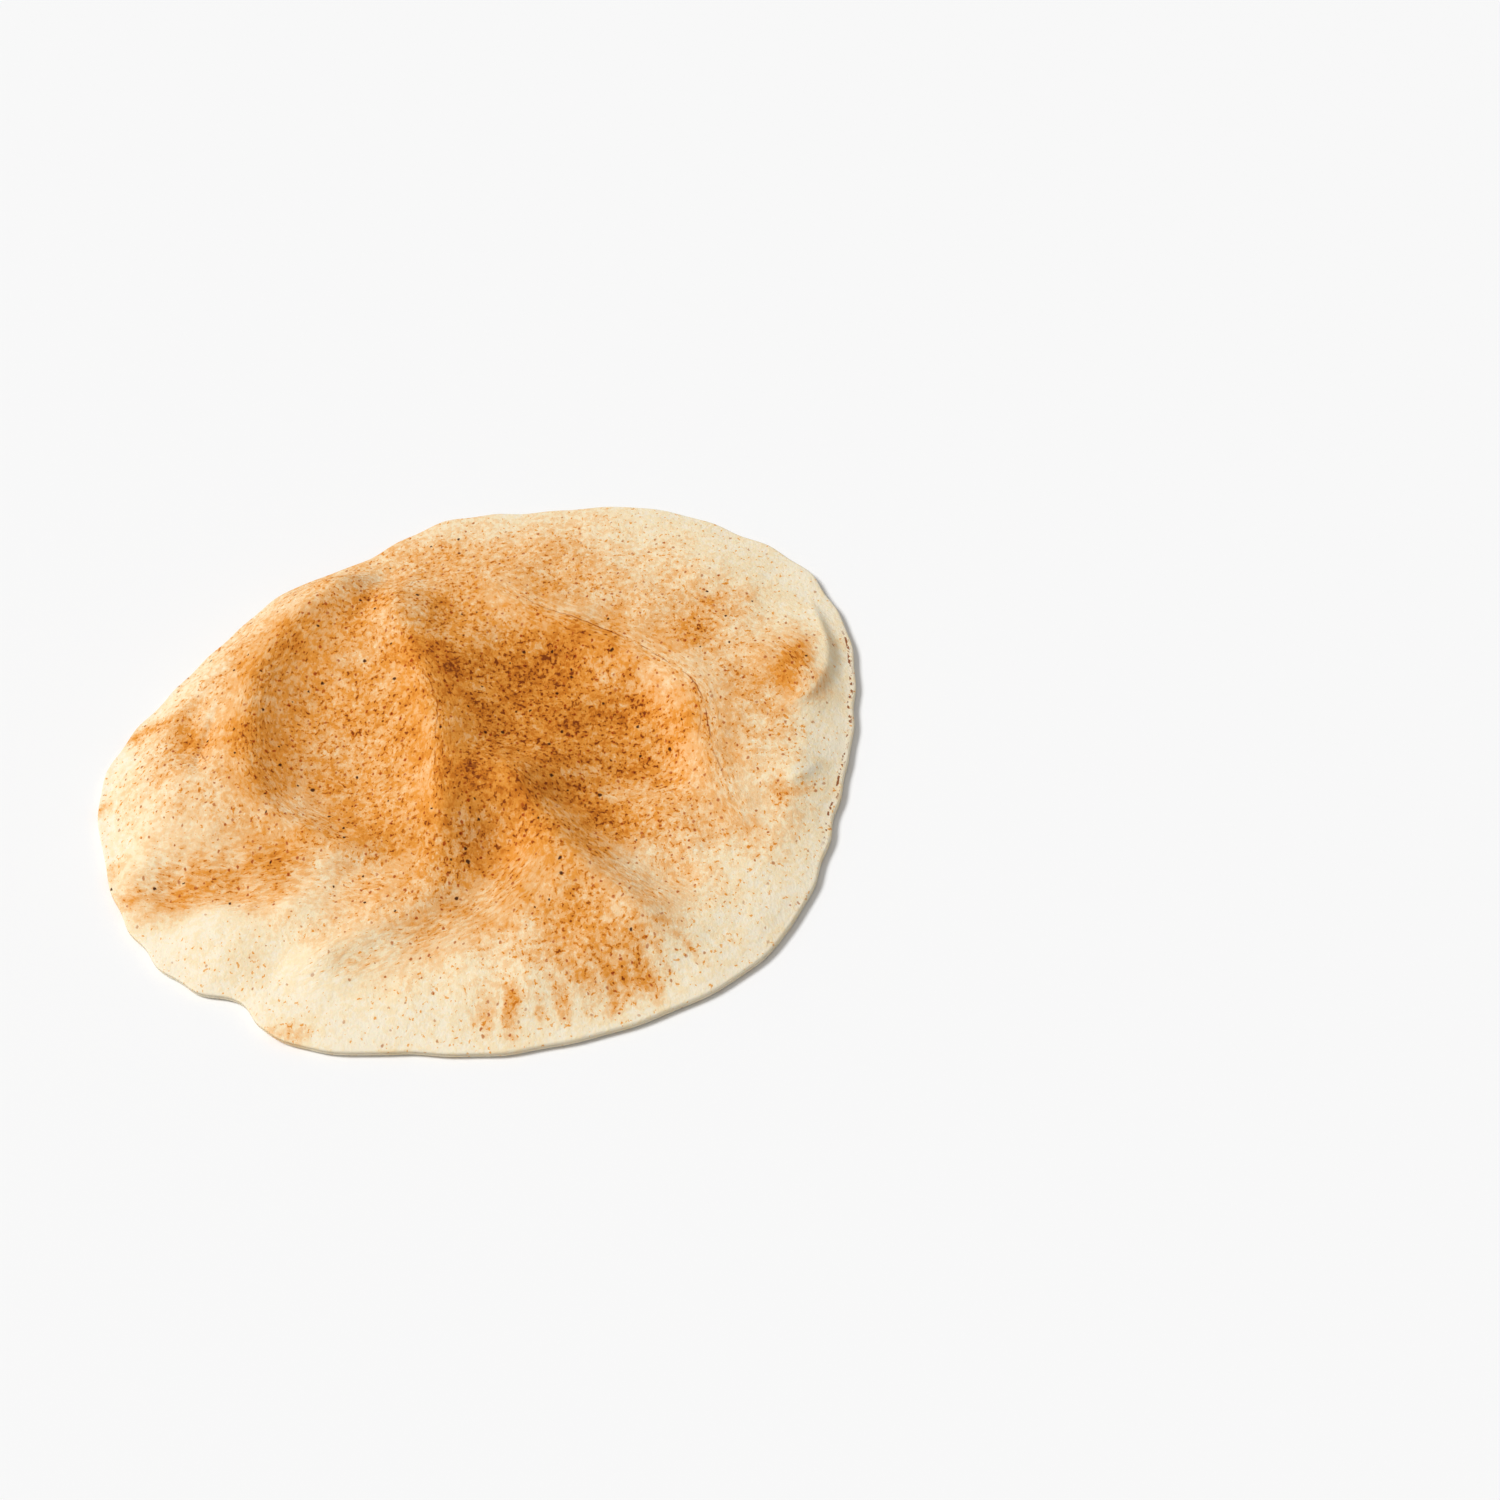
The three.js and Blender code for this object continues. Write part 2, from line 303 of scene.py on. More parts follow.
# Creases too small for the CAD solid: points in plan millimetres, height of the step, and how far it
# dies away to the left and to the right of the line's direction.
CREASES = {
    "lip": dict(
        line=[(94, 47), (96.4, 38), (97.6, 28.4), (98, 21.3), (96.7, 13), (94, 6.8), (90.5, 2.2),
              (86, -0.5), (80, -1)],
        height=2.1, left=0.7, right=7.0),
    "tuck": dict(
        line=[(78, -29), (84, -28), (88.5, -23.5), (92.5, -19.5)],
        height=0.8, left=4.0, right=0.8),
    "pinch": dict(
        line=[(-68, 34), (-71.5, 25), (-73.5, 18), (-75, 12), (-75, 6), (-72.5, 1)],
        height=-1.5, left=3.5, right=1.2),
}
# the rounding of a crease, and the share of its length over which each end dies away
CREASE_ROUND = 0.4
CREASE_FADE = 0.35


def crease_height(crease):
    off, side, along, length = near_line(crease["line"], GX, GY)
    leftness = ease(0.5 + side / (2 * CREASE_ROUND))
    flank = leftness * crease["left"] + (1 - leftness) * crease["right"]
    away = np.hypot(off, CREASE_ROUND) - CREASE_ROUND
    return crease["height"] * np.exp(-away / flank) * ends_fade(along, length, CREASE_FADE * length)


def top_detail():
    """Everything on the top but the crown: folds, swellings, soft lumps, small blisters and creases."""
    relief = np.zeros_like(GX)
    for fold in FOLDS.values():
        relief += blur(fold_height(fold, GX, GY), FOLD_SOFTENING)
    for spot in SWELLINGS.values():
        relief += swelling_height(spot, GX, GY)
    creases = sum(crease_height(crease) for crease in CREASES.values())
    return (relief + layered_noise(LUMPS)) * EDGE_FADE + creases


TOP_DETAIL = top_detail()
# the detail settles into the rounded rim over the last 1/24 of the way
SETTLE_RATE = 24


def top_height(x, y, share):
    crown = PUFF_HEIGHT * np.clip(1 - share**SHOULDER_POWER, 0, 1) ** CROWN_POWER
    detail = sample(TOP_DETAIL, x, y) * ease((1 - share) * SETTLE_RATE)
    return RIM_LIFT + RIM_THICKNESS + crown + detail


# ---------------------------------------------------------------- browning
# Toasted patches: middle and half sizes in millimetres, turn in degrees, amount from 0 to 1, and how
# crisp the edge is, from 1 to 4.
TOAST = [
    # the broad toasting of the puffed middle
    (-6, 20, 73, 82, 0, 0.42, 3.2),
    (4, 8, 62, 62, 0, 0.30, 2.8),
    (42, -26, 26, 28, 20, 0.30, 2.4),
    (58, -40, 32, 34, 0, 0.14, 2.0),
    # its darker heart, on the high ground that met the oven's heat
    (20, 26, 42, 18, 0, 0.25, 2.0),
    (35, 31, 9, 5, -10, 0.36, 1.6),
    (19, 24, 12, 9, 0, 0.24, 1.6),
    (-8, 26, 8, 20, 10, 0.15, 1.8),
    (-2, -4, 12, 22, 0, 0.24, 1.8),
    (16, -30, 11, 14, 20, 0.26, 1.6),
    (-4, -40, 12, 10, 0, 0.22, 1.6),
    (38, 6, 12, 20, 0, 0.18, 1.8),
    # left bowl and the bands round it
    (-58, 8, 9, 34, -8, 0.26, 1.8),
    (-48, -8, 14, 16, 14, 0.26, 1.8),
    (-38, 28, 14, 14, 0, 0.18, 1.8),
    (-48, 54, 26, 20, 40, 0.22, 1.8),
    (-28, -26, 12, 12, 0, 0.26, 1.8),
    (-84, -32, 20, 8, -6, 0.50, 1.8),
    (-56, -30, 22, 8, 4, 0.34, 1.8),
    (-80, 8, 14, 24, 0, 0.22, 1.8),
    (14, 78, 48, 16, 0, 0.14, 2.0),
    (56, 44, 34, 20, -30, 0.20, 2.0),
    # right and front
    (68, 8, 16, 30, 0, 0.24, 1.8),
    (86, 14, 8, 14, -10, 0.62, 2.0),
    (83, -31, 7, 3.4, 14, 0.62, 1.8),
    (80, -39, 8, 5, 0, 0.34, 1.8),
    (4, -64, 42, 16, 0, 0.28, 2.0),
    (26, -66, 14, 12, 0, 0.16, 1.6),
    (26, -80, 21, 11, 14, 0.42, 1.8),
    # marks along the left rim
    (-90, 30, 12, 3.4, 6, 0.48, 1.8),
    (-80, 21, 10, 4, -44, 0.40, 1.8),
    (-101, 8, 4, 2.2, 10, 0.42, 1.5),
    (-99, -18, 7, 3, -8, 0.38, 1.5),
    (-80, 52, 5, 1.6, 48, 0.36, 1.5),
    (-56, -86, 7, 3.6, -20, 0.34, 1.5),
    (-25, -99, 4, 2.4, 0, 0.34, 1.5),
]
# Scorched streaks where the front rim met the oven floor: middle and half width in degrees, amount.
STREAKS = [
    (-93, 1.5, 0.26), (-89, 1.4, 0.46), (-84, 0.9, 0.20), (-80, 1.2, 0.34), (-76, 1.1, 0.30),
    (-73, 1.2, 0.42), (-70, 0.8, 0.30), (-67, 1.3, 0.46), (-64, 0.8, 0.28), (-59, 0.7, 0.22),
    (-54, 0.6, 0.14),
]
# how far out they are and half the length of the strongest, as shares of the way to the rim
STREAK_SHARE = 0.89
STREAK_HALF = 0.085
# Layers of noise: what moves the patches' edges in millimetres and the streaks in degrees, and what
# mottles the toasting of the top and of the base.
WANDER_X = [(11, 6, 2.0), (12, 2, 1.2)]
WANDER_Y = [(13, 6, 2.0), (14, 2, 1.2)]
STREAK_WANDER = [(18, 3, 0.5)]
TOP_MOTTLE = [(15, 5, 0.07), (16, 1.6, 0.05)]
BASE_MOTTLE = [(21, 9, 0.16), (22, 4, 0.14)]
# the toasting of the base, and its paling towards the rim from a share of the way out
BASE_TOAST = 0.30
BASE_TOAST_MOST = 0.8
BASE_PALING = 0.5
BASE_PALE_FROM = 0.8

# The seam of scorched dots along the right rim: its bearings in degrees, how far in from the rim it
# runs, and the degrees over which its ends die away.
SEAM_FROM, SEAM_TO = 18, -31
SEAM_INSET = 1.5
SEAM_FADE = 4.0

# Dark hairlines along the folds' creases, partly cracks in the crust and partly painted shade in the
# creases: points in plan millimetres, and how strongly each shows.
ARC_CREASE_LINE = [(2, 74), (11, 63), (21, 51), (41, 36), (52, 24), (61, 9), (63, -16), (66, -32), (70, -46)]
RIDGE_CREASE_LINE = [(-20, 39), (-15, 34), (-11, 24), (-9, 14), (-10, 0), (-11, -14), (-10, -32)]
CRACK_AND_CREASE_SHADE_LINES = [
    (ARC_CREASE_LINE, 1.0),
    (RIDGE_CREASE_LINE, 0.8),
    ([(-12, 82), (-14, 71), (-19, 59), (-21, 45), (-24, 37)], 0.6),
    ([(55, 22), (60, 11), (61, 0), (59, -12), (61, -24), (62, -38)], 0.35),
    ([(-70, 25), (-75, 19), (-74, 13), (-72, 5)], 0.8),
    ([(-32, -56), (-25, -53), (-16, -52)], 0.6),
]
# how far from its line a dark hairline is drawn, and the share of its length over which each end dies away
DARK_LINE_REACH = 8
DARK_LINE_FADE = 0.35
# The arc and ridge lines have paler crust on one side: 1 for the left of the line's direction or -1 for the
# right, and amount; then its reach, the fade at the line's ends and the width of its edge.
PALE_SIDES = [(ARC_CREASE_LINE, 1, 0.20), (RIDGE_CREASE_LINE, -1, 0.16)]
PALE_REACH = 14
PALE_FADE = 18
PALE_EDGE = 1.6


def spot_cover(x, y, cx, cy, rx, ry, turn, edge):
    """How much of a toasted patch covers each place, 1 in its middle."""
    a = math.radians(turn)
    u = ((x - cx) * math.cos(a) + (y - cy) * math.sin(a)) / rx
    v = (-(x - cx) * math.sin(a) + (y - cy) * math.cos(a)) / ry
    return np.exp(-((u**2 + v**2) ** (edge / 2)))


def toast_map():
    """How toasted the top is, from 0 to 1: patches with wandering edges, streaks, cracks and mottling."""
    wx = GX + layered_noise(WANDER_X)
    wy = GY + layered_noise(WANDER_Y)
    clear = np.ones_like(GX)
    for cx, cy, rx, ry, turn, amount, edge in TOAST:
        clear *= 1 - amount * spot_cover(wx, wy, cx, cy, rx, ry, turn, edge)
    bearing = np.degrees(np.arctan2(GY, GX)) + layered_noise(STREAK_WANDER)
    for angle, half, amount in STREAKS:
        length = STREAK_HALF * (0.5 + amount)
        near = ((bearing - angle) / half) ** 2 + (np.abs(SHARE - STREAK_SHARE) / length) ** 3
        clear *= 1 - amount * np.exp(-near)
    for points, turn, amount in PALE_SIDES:
        off, side, along, length = near_line(points, GX, GY)
        edge = ease(0.5 + side * turn / PALE_EDGE) * np.exp(-off / PALE_REACH)
        clear += (1 - clear) * amount * edge * ends_fade(along, length, PALE_FADE)
    toast = 1 - clear
    mottle = layered_noise(TOP_MOTTLE)
    return np.clip(toast + mottle * np.sqrt(np.clip(toast, 0.02, 1)), 0, 1)


def under_toast_map():
    """Soft patches where the base lay on the oven floor, paler towards the rim."""
    patches = BASE_TOAST + layered_noise(BASE_MOTTLE)
    paling = BASE_PALING * ease((SHARE - BASE_PALE_FROM) / (1 - BASE_PALE_FROM))
    return np.clip(patches - paling, 0, BASE_TOAST_MOST)


TOAST_MAP = toast_map()
UNDER_TOAST_MAP = under_toast_map()

# Lines the crust's grain is drawn out along: points in plan millimetres, and reach to either side.
GRAIN_LINES = [
    ([(-100, -20), (-82, -28), (-58, -34), (-38, -38), (-20, -48)], 13),
    ([(8, 68), (21, 50), (41, 36), (52, 24), (61, 9), (63, -16), (66, -32), (70, -46)], 6),
    ([(-20, 39), (-15, 34), (-11, 24), (-9, 14), (-9, 0), (-10, -14), (-9, -32)], 6),
    ([(14, -40), (2, -54), (-14, -62), (-36, -68), (-56, -74)], 9),
    ([(8, -6), (15, -24), (25, -42), (37, -57), (50, -72)], 6),
    ([(-40, 66), (-52, 46), (-59, 27), (-60, 8), (-55, -8), (-44, -22), (-30, -36)], 8),
    ([(78, 30), (88, 18), (91, 4), (84, -6)], 7),
]
# how much the grain is stretched along a line and squeezed across it
GRAIN_ALONG = 0.62
GRAIN_ACROSS = 1.35
# how far apart the lines' grains are drawn from the noise, so that no two lines look alike
GRAIN_APART = 40.0
# the length over which each end of a line dies away
GRAIN_ENDS = 10
# where two lines are nearly as near as each other, neither holds
GRAIN_PARTING = 0.7


def grain_fields(x, y):
    """Coordinates drawn out along the nearest grain line, and how strongly they hold."""
    best = np.full(x.shape, FAR)
    second = np.full(x.shape, FAR)
    flow = np.zeros((len(x), 3))
    hold = np.zeros(x.shape)
    for k, (points, reach) in enumerate(GRAIN_LINES):
        off, side, along, length = near_line(points, x, y, 5)
        closer = off / reach < best
        second = np.where(closer, best, np.minimum(second, off / reach))
        best = np.where(closer, off / reach, best)
        apart = np.full(len(x), k * GRAIN_APART)
        place = np.column_stack([GRAIN_ALONG * along, GRAIN_ACROSS * side, apart])
        flow = np.where(closer[:, None], place, flow)
        strength = np.exp(-(off / reach) ** 2) * ends_fade(along, length, GRAIN_ENDS)
        hold = np.where(closer, strength, hold)
    return flow * MM, hold * ease((second - best) / GRAIN_PARTING)


def dark_line_fields(x, y):
    """For each dark hairline, crack and painted crease shade, how far each point is to its left, and how
    strongly it is darkened there.
    """
    away, cut = [], []
    for points, strength in CRACK_AND_CREASE_SHADE_LINES:
        off, side, along, length = near_line(points, x, y, 8)
        away.append(side * MM)
        cut.append(strength * ends_fade(along, length, DARK_LINE_FADE * length) * (off < DARK_LINE_REACH))
    return np.column_stack(away), np.column_stack(cut)


def seam_field(x, y):
    """How far each point is inside the seam line, and how strongly the seam shows there."""
    bearing = np.degrees(np.arctan2(y, x))
    off = rim_reach(x, y) - np.hypot(x, y) - SEAM_INSET
    ends = ease(np.minimum(SEAM_FROM - bearing, bearing - SEAM_TO) / SEAM_FADE)
    return np.column_stack([off * MM, ends, np.zeros(len(x))])


# ---------------------------------------------------------------- mesh
TOP_RINGS = 150
UNDER_RINGS = 75
RIM_STEPS = 8
# the groove round the middle of the rim, where the two layers of crust meet
GROOVE_DEPTH = 0.45
GROOVE_HALF = 0.35
# the base's shallow dimples, and the share of the way to the rim where they stop
DIMPLE = 0.16
DIMPLE_SWING = 0.14
DIMPLE_MOST = 0.6
DIMPLE_SHARE = 0.995


def disc(rings):
    """A disc whose ring k has 6k points: plan places, shares, triangles and where the last ring starts."""
    plans, shares, faces, starts = [np.zeros((1, 2))], [np.zeros(1)], [], [0]
    count = 1
    for k in range(1, rings + 1):
        size = 6 * k
        edge = rim_at(np.arange(size) / size)
        inset = 1 - RIM_THICKNESS / 2 / np.linalg.norm(edge, axis=1)
        plans.append(edge * (k / rings * inset)[:, None])
        shares.append(np.full(size, k / rings))
        starts.append(count)
        sector, step = np.arange(size) // k, np.arange(size) % k
        inner_size = max(1, size - 6)
        inner = (sector * (k - 1) + step) % inner_size + starts[k - 1]
        inner_next = (sector * (k - 1) + step + 1) % inner_size + starts[k - 1]
        here = np.arange(size) + count
        after = (np.arange(size) + 1) % size + count
        paired = step < k - 1
        faces.append(np.stack([inner, here, after], 1))
        faces.append(np.stack([inner[paired], after[paired], inner_next[paired]], 1))
        count += size
    return np.vstack(plans), np.concatenate(shares), np.vstack(faces), starts[rings]


def rim_rings(count):
    """The rings down the rounded rim between the top and the base, and how far down each one is, 0 to 1."""
    edge = rim_at(np.arange(count) / count)
    away = np.linalg.norm(edge, axis=1)
    radius = RIM_THICKNESS / 2
    for step in range(1, RIM_STEPS):
        turn = math.pi * step / RIM_STEPS
        groove = GROOVE_DEPTH * math.exp(-((turn - math.pi / 2) / GROOVE_HALF) ** 2)
        ring = edge * (1 + (radius * (math.sin(turn) - 1) - groove) / away)[:, None]
        z = np.full(count, RIM_LIFT + radius * (1 + math.cos(turn)))
        yield np.column_stack([ring, z]), step / RIM_STEPS


def base_height(under, share):
    dimple = DIMPLE + DIMPLE_SWING * sample(noise(31, 6), under[:, 0], under[:, 1])
    lift = RIM_LIFT * ease((share - FLAT_SHARE) / (1 - FLAT_SHARE))
    return lift + np.clip(dimple, 0, DIMPLE_MOST) * (share < DIMPLE_SHARE)


def join_rings(above, below):
    """Triangles between two rings of the same number of points."""
    above_next, below_next = np.roll(above, -1), np.roll(below, -1)
    return [np.stack([above, below, below_next], 1), np.stack([above, below_next, above_next], 1)]


def join_to_half_ring(above, half):
    """Triangles between a ring and one below it with half as many points."""
    even, odd = above[0::2], above[1::2]
    half_next = np.roll(half, -1)
    return [np.stack([even, half, odd], 1), np.stack([odd, half, half_next], 1),
            np.stack([odd, half_next, np.roll(even, -1)], 1)]


def build_bread():
    """One closed mesh: vertices, triangles, toasting, and side, which is 1 on the top and 0 on the base."""
    top, top_share, top_faces, top_start = disc(TOP_RINGS)
    under, under_share, under_faces, under_start = disc(UNDER_RINGS)
    verts = [np.column_stack([top, top_height(top[:, 0], top[:, 1], top_share)])]
    faces = [top_faces]
    toast = [sample(TOAST_MAP, top[:, 0], top[:, 1])]
    side = [np.ones(len(top))]
    base = len(top)
    count = 6 * TOP_RINGS
    above = top_start + np.arange(count)
    for ring, down in rim_rings(count):
        below = base + np.arange(count)
        verts.append(ring)
        faces += join_rings(above, below)
        toast.append(sample(TOAST_MAP, ring[:, 0], ring[:, 1]))
        side.append(np.full(count, 1 - down))
        above = below
        base += count
    verts.append(np.column_stack([under, base_height(under, under_share)]))
    faces.append((under_faces + base)[:, ::-1])
    faces += join_to_half_ring(above, base + under_start + np.arange(count // 2))
    toast.append(sample(UNDER_TOAST_MAP, under[:, 0], under[:, 1]))
    side.append(np.zeros(len(under)))
    return np.vstack(verts), np.vstack(faces), np.concatenate(toast), np.concatenate(side)


def make_object(name, verts, faces, attributes):
    mesh = bpy.data.meshes.new(name)
    place = verts * MM + [MIDDLE.x, MIDDLE.y, NODE_LOW.z]
    mesh.vertices.add(len(verts))
    mesh.vertices.foreach_set("co", place.astype(np.float32).ravel())
    mesh.loops.add(len(faces) * 3)
    mesh.loops.foreach_set("vertex_index", faces.astype(np.int32).ravel())
    mesh.polygons.add(len(faces))
    mesh.polygons.foreach_set("loop_start", (np.arange(len(faces)) * 3).astype(np.int32))
    mesh.polygons.foreach_set("use_smooth", np.ones(len(faces), bool))
    mesh.update(calc_edges=True)
    mesh.validate()
    for key, values in attributes.items():
        kind = "FLOAT_VECTOR" if values.ndim == 2 else "FLOAT"
        data = mesh.attributes.new(key, kind, "POINT").data
        data.foreach_set("vector" if values.ndim == 2 else "value", values.astype(np.float32).ravel())
    piece = bpy.data.objects.new(name, mesh)
    bpy.context.scene.collection.objects.link(piece)
    return piece


# ---------------------------------------------------------------- material
# scales are noise or Voronoi cells to the metre
GRAIN_SCALE = 600.0
FLECK_SCALE = 1000.0
PATCH_SCALE = 190.0
SPECK_SCALE = 430.0
PINHOLE_SCALE = 250.0
BEAD_SCALE = 820.0
GRIT_SCALE = 1500.0
WRINKLE_SCALE = 330.0
WOBBLE_SCALE = 900.0
WANDER_SCALE = 300.0
GAP_SCALE = 130.0
# how far specks and pinholes are pushed out of round, and the dark hairlines off their lines, in metres
WOBBLE = 0.0009
WANDER = 0.0011
# lines and dots fade out between these distances from their middle, in metres
DARK_LINE_HALF, DARK_LINE_CORE = 0.00030, 0.00006
SEAM_HALF, SEAM_CORE = 0.00045, 0.0002

BAKED_RAMP = [
    (0.0, (0.92, 0.815, 0.62)),
    (0.14, (0.92, 0.75, 0.485)),
    (0.30, (0.89, 0.60, 0.32)),
    (0.46, (0.84, 0.45, 0.17)),
    (0.64, (0.77, 0.30, 0.042)),
    (0.82, (0.60, 0.182, 0.014)),
    (1.0, (0.22, 0.044, 0.004)),
]
SPECK_TINT = (0.52, 0.20, 0.045, 1)
PINHOLE_COLOUR = (0.045, 0.007, 0.001, 1)
# the tint of the dark hairlines: cracks in the crust and painted shade in the creases
CRACK_AND_SHADE_TINT = (0.46, 0.24, 0.10, 1)
SEAM_TINT = (0.33, 0.11, 0.03, 1)


class Nodes:
    """Short calls for building a node tree; each returns an output socket, except add."""

    def __init__(self, material):
        material.use_nodes = True
        self.tree = material.node_tree
        self.tree.nodes.clear()

    def add(self, kind, links=None, **settings):
        node = self.tree.nodes.new(kind)
        for key, value in settings.items():
            setattr(node, key, value)
        for key, value in (links or {}).items():
            socket = node.inputs[key]
            if isinstance(value, bpy.types.NodeSocket):
                self.tree.links.new(value, socket)
            else:
                socket.default_value = value
        return node

    def surface(self, shader):
        out = self.add("ShaderNodeOutputMaterial")
        self.tree.links.new(shader.outputs["BSDF"], out.inputs["Surface"])

    def number(self, name):
        return self.add("ShaderNodeAttribute", attribute_name=name).outputs["Fac"]

    def vector(self, name):
        return self.add("ShaderNodeAttribute", attribute_name=name).outputs["Vector"]

    def parts(self, vector):
        return self.add("ShaderNodeSeparateXYZ", {0: vector}).outputs

    def math(self, operation, a, b=0.0, c=0.0, clamp=False):
        node = self.add("ShaderNodeMath", {0: a, 1: b, 2: c}, operation=operation, use_clamp=clamp)
        return node.outputs[0]

    def times(self, a, b):
        return self.math("MULTIPLY", a, b)

    def line(self, value, slope, start, clamp=False):
        """value * slope + start."""
        return self.math("MULTIPLY_ADD", value, slope, start, clamp)

    def soft_step(self, value, low, high):
        """0 at low and 1 at high, whichever of them is the larger."""
        node = self.add("ShaderNodeMapRange", {"Value": value, "From Min": low, "From Max": high},
                        interpolation_type="SMOOTHSTEP", clamp=True)
        return node.outputs["Result"]

    def mix(self, factor, a, b, blend="MIX"):
        node = self.add("ShaderNodeMix", {0: factor, 6: a, 7: b}, data_type="RGBA", blend_type=blend)
        return node.outputs[2]

    def blend(self, factor, a, b):
        return self.add("ShaderNodeMix", {0: factor, 2: a, 3: b}, data_type="FLOAT").outputs[0]

    def noise(self, vector, scale, detail=2.0, rough=0.5, distortion=0.0):
        node = self.add("ShaderNodeTexNoise", {"Vector": vector, "Scale": scale, "Detail": detail,
                                               "Roughness": rough, "Distortion": distortion})
        return node.outputs["Fac"]

    def cells(self, vector, scale):
        """Distance to the nearest point of a 2D Voronoi pattern, and three random numbers for its cell."""
        cell = self.add("ShaderNodeTexVoronoi", {"Vector": vector, "Scale": scale, "Randomness": 1.0},
                        voronoi_dimensions="2D")
        dice = self.add("ShaderNodeSeparateColor", {"Color": cell.outputs["Color"]})
        return cell.outputs["Distance"], dice.outputs

    def ramp(self, factor, stops):
        node = self.add("ShaderNodeValToRGB", {"Fac": factor})
        node.color_ramp.interpolation = "EASE"
        elements = node.color_ramp.elements
        while len(elements) < len(stops):
            elements.new(0.5)
        for element, (place, colour) in zip(elements, stops):
            element.position = place
            element.color = (*colour, 1)
        return node.outputs["Color"]


def browning(n, toast, skin, flow, hold, grain):
    """The toasted colour, broken up into flecks that are denser where it is toasted."""
    small = n.blend(hold, n.noise(skin, FLECK_SCALE, 2, 0.45), n.noise(flow, FLECK_SCALE, 2, 0.5))
    patch = n.noise(skin, PATCH_SCALE, 3, 0.55)
    swing = n.math("SUBTRACT", n.soft_step(grain, 0.32, 0.68), 0.47)
    drift = n.times(n.math("SUBTRACT", patch, 0.5), 0.7)
    weight = n.math("MINIMUM", n.line(toast, 0.50, 0.13), 0.31)
    level = n.line(n.math("ADD", swing, drift), weight, toast)
    fleck = n.soft_step(n.math("SUBTRACT", small, n.line(toast, -0.13, 0.665)), -0.02, 0.05)
    level = n.line(fleck, n.line(toast, -0.34, 0.47), level)
    flour = n.soft_step(small, 0.36, 0.28)
    return n.ramp(n.line(flour, -0.16, level, clamp=True), BAKED_RAMP)


def add_specks(n, base, toast, spots):
    """Small brown specks, a few of them even where it is pale."""
    distance, dice = n.cells(spots, SPECK_SCALE)
    often = n.math("GREATER_THAN", dice[0], n.line(toast, -0.54, 0.975))
    size = n.line(dice[1], 0.10, 0.11)
    speck = n.times(often, n.soft_step(n.math("DIVIDE", distance, size), 1.2, 0.5))
    depth = n.line(dice[2], 0.30, n.line(n.soft_step(toast, 0.0, 0.3), 0.25, 0.45))
    return n.mix(n.times(speck, depth), base, SPECK_TINT, "MULTIPLY")


def add_pinholes(n, base, toast, spots):
    """Scorched pinholes, only where it is well toasted."""
    distance, dice = n.cells(spots, PINHOLE_SCALE)
    rare = n.math("GREATER_THAN", dice[0], n.line(n.times(toast, toast), -0.34, 1.005))
    size = n.line(n.math("POWER", dice[1], 2.0), 0.08, 0.08)
    hole = n.times(rare, n.soft_step(n.math("DIVIDE", distance, size), 1.15, 0.6))
    return n.mix(n.times(hole, 0.95), base, PINHOLE_COLOUR)


def add_cracks_and_crease_shade(n, base, skin, wander):
    """Dark hairlines along the lines that the mesh carries, broken by gaps: partly cracks in the crust,
    partly painted shade in the creases.
    """
    dark_line = 0.0
    for key in ("one", "two"):
        away = n.parts(n.vector("away_" + key))
        cut = n.parts(n.vector("cut_" + key))
        for axis in range(3):
            off = n.math("ABSOLUTE", n.math("ADD", away[axis], wander))
            dark_line = n.math("MAXIMUM", dark_line, n.times(n.soft_step(off, DARK_LINE_HALF, DARK_LINE_CORE), cut[axis]))
    gaps = n.soft_step(n.noise(skin, GAP_SCALE, 3, 0.6), 0.40, 0.54)
    return n.mix(n.times(n.times(dark_line, gaps), 0.9), base, CRACK_AND_SHADE_TINT, "MULTIPLY")


def add_seam(n, base, skin, wander):
    """The row of scorched dots along the right rim."""
    seam = n.parts(n.vector("seam"))
    beads = n.soft_step(n.noise(skin, BEAD_SCALE, 1, 0.4), 0.50, 0.58)
    row = n.soft_step(n.math("ABSOLUTE", n.math("ADD", seam[0], wander)), SEAM_HALF, SEAM_CORE)
    dots = n.times(n.times(row, beads), seam[1])
    return n.mix(n.times(dots, 0.95), base, SEAM_TINT, "MULTIPLY")


def fine_relief(n, skin, flow, hold, grain):
    """Grit and wrinkles too fine for the mesh."""
    grit = n.noise(skin, GRIT_SCALE, 3, 0.6)
    wrinkle = n.times(n.noise(flow, WRINKLE_SCALE, 3, 0.55), hold)
    bumps = n.line(grit, 0.35, n.times(grain, 0.6))
    bumps = n.line(wrinkle, 0.9, bumps)
    node = n.add("ShaderNodeBump", {"Height": bumps, "Strength": 0.55, "Distance": 0.0008})
    return node.outputs["Normal"]


